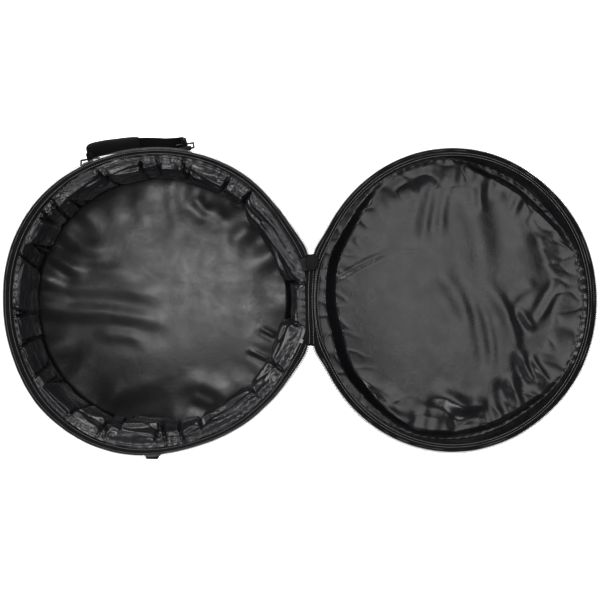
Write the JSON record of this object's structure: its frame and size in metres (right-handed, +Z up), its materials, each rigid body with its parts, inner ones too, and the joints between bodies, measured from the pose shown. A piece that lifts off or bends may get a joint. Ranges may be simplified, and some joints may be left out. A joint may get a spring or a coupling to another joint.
{
  "type": "handpan bag",
  "caption": "Round padded zip bag for a handpan, lying open: a deep base tub with gathered satin lining and a shallow hinged lid, with a side carry handle.",
  "frame": {"origin": "centre of the base's flat underside", "axes": "+Z up; +X from the base towards the hinge and the opened lid; +Y towards the carry handle's side"},
  "size_m": [1.1366, 0.6233, 0.2035],
  "materials": {
    "shell_nylon": "matte woven nylon",
    "foam": "matte closed-cell foam",
    "lining_satin": "glossy satin",
    "piping": "matte",
    "binding": "ribbed grosgrain",
    "zip_tape": "herringbone weave",
    "zip_coil": "satin",
    "webbing": "matte webbing",
    "grip_fabric": "matte woven",
    "ring_metal": "black nickel",
    "slider_metal": "black enamel",
    "pin_steel": "satin",
    "pull_rubber": "matte"
  },
  "bodies": {
    "base": {"base_floor_panel": "shell_nylon", "base_floor_foam": "foam", "base_floor_lining": "lining_satin", "base_wall_shell": "shell_nylon", "base_wall_foam": "foam", "base_wall_lining": "lining_satin", "base_floor_piping": "piping", "base_rim_binding": "binding", "base_zip_tape": "zip_tape", "base_zip_teeth": "zip_coil", "zip_end_stop": "zip_coil", "hinge_strip": "binding", "handle_patch_left": "webbing", "handle_patch_right": "webbing", "handle_tab_left": "webbing", "handle_tab_right": "webbing", "side_loop": "webbing", "side_strap_tab": "webbing"},
    "handle": {"handle_strap": "webbing", "handle_grip": "grip_fabric", "handle_ring_left": "ring_metal", "handle_ring_right": "ring_metal"},
    "lid": {"lid_top_panel": "shell_nylon", "lid_wall_shell": "shell_nylon", "lid_top_foam": "foam", "lid_wall_foam": "foam", "lid_lining": "lining_satin", "lid_edge_piping": "piping", "lid_rim_binding": "binding", "lid_zip_tape": "zip_tape", "lid_zip_teeth": "zip_coil"},
    "slider": {"zip_slider": "slider_metal", "zip_slider_pin": "pin_steel"},
    "pull": {"zip_pull": "pull_rubber"}
  },
  "joints": [
    {"name": "lid_hinge", "type": "hinge", "parent": "base", "child": "lid", "pos_m": [0.288, 0, 0.202], "axis": [0, -1, 0], "range_deg": [0, 194.94]},
    {"name": "zip_run", "type": "hinge", "parent": "base", "child": "slider", "pos_m": [0, 0, 0.2], "axis": [0, 0, 1], "range_deg": [0, 326]},
    {"name": "pull_swing", "type": "hinge", "parent": "slider", "child": "pull", "pos_m": [0.28004, 0.06723, 0.189], "axis": [0.2334, -0.9724, 0], "range_deg": [0, 35]},
    {"name": "handle_swing", "type": "hinge", "parent": "base", "child": "handle", "pos_m": [-0.13393, 0.25948, 0.135], "axis": [0.9878, 0.1556, 0], "range_deg": [0, 90]}
  ]
}
